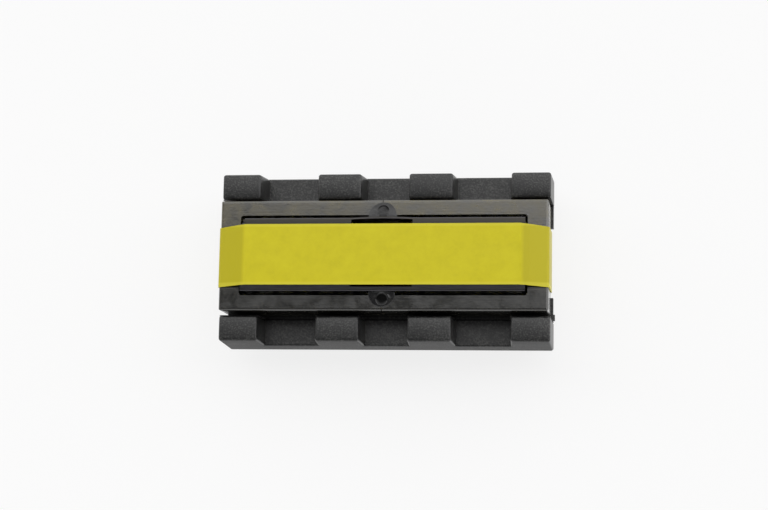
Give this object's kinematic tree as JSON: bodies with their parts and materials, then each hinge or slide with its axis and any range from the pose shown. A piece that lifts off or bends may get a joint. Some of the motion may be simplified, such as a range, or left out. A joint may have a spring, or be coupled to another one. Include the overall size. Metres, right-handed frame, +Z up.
{
  "type": "pcb transformer",
  "caption": "Flat board-mount ferrite transformer: long core in a black moulded bobbin with blocks on both rails, a winding cover, yellow tape lengthwise and round pins below.",
  "frame": {"origin": "centre of the pin pattern at the height of the board face, where the rails stand", "axes": "+X along the core, +Y across to the rear rail, +Z up from the board"},
  "size_m": [0.0404, 0.021, 0.0125],
  "materials": {
    "phenolic_moulding": "matte moulded, fine mineral grain",
    "cover_plastic": "smooth satin moulding",
    "ferrite": "sintered, brown-grey, matt with a faint sheen",
    "spacer_film": "thin polyester film",
    "yellow_polyester_tape": "satin film, slightly uneven",
    "amber_film_tape": "glossy amber film",
    "enamelled_copper": "enamelled copper wire",
    "epoxy_glue": "cured grey epoxy, slightly glossy",
    "tinned_pin": "bright tin plating",
    "solder": "bright solder"
  },
  "bodies": {
    "root": {"bobbin": "phenolic_moulding", "winding_cover": "cover_plastic", "core_left": "ferrite", "core_right": "ferrite", "core_spacer": "spacer_film", "core_tape": "yellow_polyester_tape", "primary_winding": "enamelled_copper", "primary_tape": "amber_film_tape", "secondary_left": "enamelled_copper", "secondary_right": "enamelled_copper", "glue_front": "epoxy_glue", "glue_rear": "epoxy_glue", "pin_1": "tinned_pin", "pin_2": "tinned_pin", "pin_3": "tinned_pin", "pin_4": "tinned_pin", "pin_5": "tinned_pin", "pin_6": "tinned_pin", "pin_7": "tinned_pin", "pin_8": "tinned_pin", "lead_1": "enamelled_copper", "lead_2": "enamelled_copper", "lead_3": "enamelled_copper", "lead_4": "enamelled_copper", "lead_5": "enamelled_copper", "lead_6": "enamelled_copper", "lead_7": "enamelled_copper", "lead_8": "enamelled_copper", "solder_1": "solder", "solder_2": "solder", "solder_3": "solder", "solder_4": "solder", "solder_5": "solder", "solder_6": "solder", "solder_7": "solder", "solder_8": "solder"}
  },
  "joints": []
}
